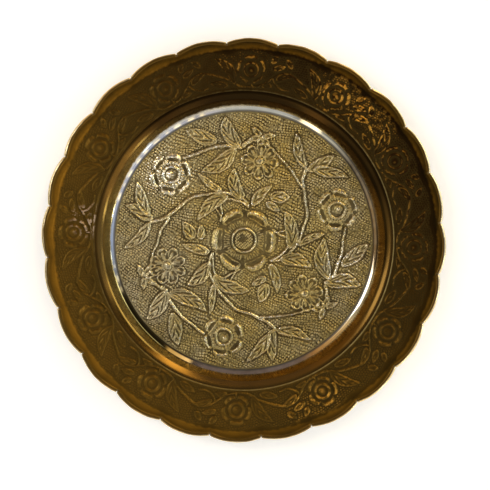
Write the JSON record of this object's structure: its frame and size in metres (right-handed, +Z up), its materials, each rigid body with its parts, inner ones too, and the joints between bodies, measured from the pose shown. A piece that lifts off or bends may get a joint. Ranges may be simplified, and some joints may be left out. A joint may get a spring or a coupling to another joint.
{
  "type": "serving tray",
  "caption": "Round brass tray with a shallow well, a scalloped wired edge, and an embossed relief of flowers and leaves on its floor and rim.",
  "frame": {"origin": "centre of the flat face under the foot ring, on which the tray rests", "axes": "+Z up along the tray's axis, +X through the tip of one scallop that carries a rim flower"},
  "size_m": [0.25, 0.25, 0.0144],
  "materials": {
    "pressed_brass": "pressed sheet brass with an aged olive floor, a dark bronze rim and edges rubbed bright",
    "drawn_wire": "drawn brass wire, tarnished",
    "foot_brass": "satin brass strip, worn bright where it rests",
    "soft_solder": "dull grey tin solder"
  },
  "bodies": {
    "root": {"tray_body": "pressed_brass", "edge_wire": "drawn_wire", "foot_ring": "foot_brass", "foot_solder": "soft_solder"}
  },
  "joints": []
}
